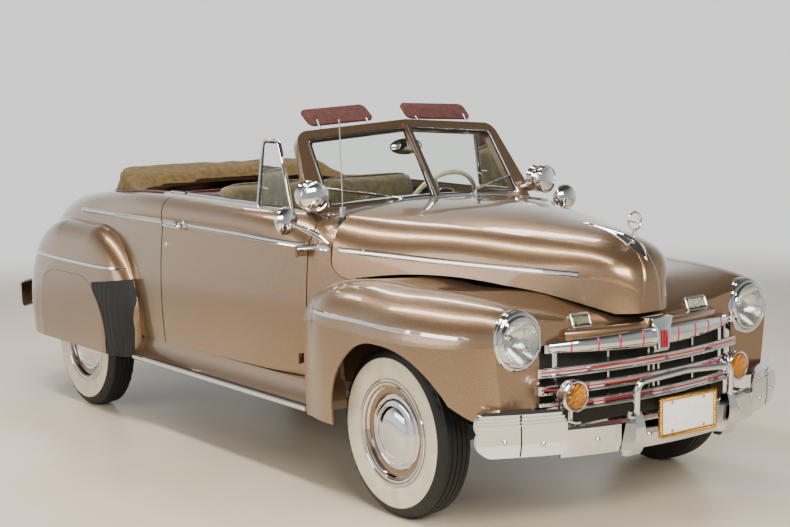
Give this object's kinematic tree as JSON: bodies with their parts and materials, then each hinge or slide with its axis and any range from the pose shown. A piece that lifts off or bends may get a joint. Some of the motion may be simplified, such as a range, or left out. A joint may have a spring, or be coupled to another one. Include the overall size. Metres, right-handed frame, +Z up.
{
  "type": "classic car",
  "caption": "Open tourer of the 1940s with a folded cloth top, long bonnet, separate wings, covered rear wheels and plated bumpers.",
  "frame": {"origin": "middle of the car's footprint, on the ground under the tyres", "axes": "+X to the driver's left, +Y to the rear, +Z up"},
  "size_m": [1.86, 4.9754, 1.6799],
  "materials": {
    "paint": "metallic champagne enamel",
    "chrome": "polished plating",
    "glass": "clear",
    "tyre": "black with pale side walls",
    "chassis_black": "satin black",
    "engine_iron": "painted casting",
    "top_cloth": "woven canvas",
    "seat_hide": "maroon hide",
    "front_seat_cloth": "olive tan cloth",
    "visor_board": "maroon board",
    "ivory": "ivory",
    "amber": "amber lens in a plated shell",
    "red_lens": "ruby lens",
    "carpet": "dark carpet over pressed steel"
  },
  "bodies": {
    "chassis": {"aerial": "chrome", "cowl": "paint", "dashboard": "paint", "engine": "engine_iron", "exhaust": "chassis_black", "floor": "carpet", "fog_lamps": "amber", "folded_top": "top_cloth", "frame": "chassis_black", "front_axle": "chassis_black", "front_bumper": "chrome", "front_plate": "chrome", "front_seat": "front_seat_cloth", "front_wing_left": "paint", "front_wing_right": "paint", "fuel_tank": "chassis_black", "grille": "chrome", "headlamps": "chrome", "mirrors": "chrome", "nose_panel": "paint", "parking_lamps": "chrome", "quarter_left": "paint", "quarter_right": "paint", "radiator": "chassis_black", "rear_axle": "chassis_black", "rear_bumper": "chrome", "rear_deck": "paint", "rear_seat": "seat_hide", "rear_wing_left": "paint", "rear_wing_right": "paint", "sills": "paint", "spot_lamps": "chrome", "steering_column": "ivory", "sun_visors": "visor_board", "tail_lamps": "red_lens", "tail_panel": "paint", "windshield_frame": "paint", "windshield_glass": "glass", "wing_skirt_left": "paint", "wing_skirt_right": "paint"},
    "left_door": {"door_left": "paint", "vent_left": "chrome"},
    "right_door": {"door_right": "paint", "vent_right": "chrome"},
    "bonnet_lid": {"bonnet": "paint", "bonnet_ornament": "chrome"},
    "boot_lid": {"trunk_lid": "paint"},
    "left_knuckle": {"knuckle_left": "chassis_black"},
    "right_knuckle": {"knuckle_right": "chassis_black"},
    "front_left_wheel": {"tyre_front_left": "tyre", "wheel_front_left": "paint"},
    "front_right_wheel": {"tyre_front_right": "tyre", "wheel_front_right": "paint"},
    "rear_left_wheel": {"tyre_rear_left": "tyre", "wheel_rear_left": "paint"},
    "rear_right_wheel": {"tyre_rear_right": "tyre", "wheel_rear_right": "paint"},
    "hand_wheel": {"steering_wheel": "ivory"}
  },
  "joints": [
    {"name": "door_left_hinge", "type": "hinge", "parent": "chassis", "child": "left_door", "pos_m": [0.804, -0.895, 0.8], "axis": [0, 0, -1], "range_deg": [0, 65]},
    {"name": "door_right_hinge", "type": "hinge", "parent": "chassis", "child": "right_door", "pos_m": [-0.804, -0.895, 0.8], "axis": [0, 0, 1], "range_deg": [0, 65]},
    {"name": "bonnet_hinge", "type": "hinge", "parent": "chassis", "child": "bonnet_lid", "pos_m": [0, -0.944, 1.247], "axis": [-1, 0, 0], "range_deg": [0, 45]},
    {"name": "boot_lid_hinge", "type": "hinge", "parent": "chassis", "child": "boot_lid", "pos_m": [0, 1.364, 1.229], "axis": [1, 0, 0], "range_deg": [0, 68]},
    {"name": "steer_left", "type": "hinge", "parent": "chassis", "child": "left_knuckle", "pos_m": [0.64, -1.6, 0.358], "axis": [0, 0, 1], "range_deg": [-24, 24]},
    {"name": "steer_right", "type": "hinge", "parent": "chassis", "child": "right_knuckle", "pos_m": [-0.64, -1.6, 0.358], "axis": [0, 0, 1], "range_deg": [-24, 24]},
    {"name": "hand_wheel_turn", "type": "hinge", "parent": "chassis", "child": "hand_wheel", "pos_m": [0.36, -0.44, 1.14], "axis": [0, 0.866, 0.5], "range_deg": [-400, 400]},
    {"name": "spin_front_left", "type": "hinge", "parent": "left_knuckle", "child": "front_left_wheel", "pos_m": [0.7365, -1.6, 0.358], "axis": [1, 0, 0], "continuous": true},
    {"name": "spin_front_right", "type": "hinge", "parent": "right_knuckle", "child": "front_right_wheel", "pos_m": [-0.7365, -1.6, 0.358], "axis": [1, 0, 0], "continuous": true},
    {"name": "spin_rear_left", "type": "hinge", "parent": "chassis", "child": "rear_left_wheel", "pos_m": [0.762, 1.296, 0.358], "axis": [1, 0, 0], "continuous": true},
    {"name": "spin_rear_right", "type": "hinge", "parent": "chassis", "child": "rear_right_wheel", "pos_m": [-0.762, 1.296, 0.358], "axis": [1, 0, 0], "continuous": true}
  ],
  "couplings": [
    {"joint": "steer_right", "follows": "steer_left", "ratio": 1},
    {"joint": "hand_wheel_turn", "follows": "steer_left", "ratio": 16}
  ]
}
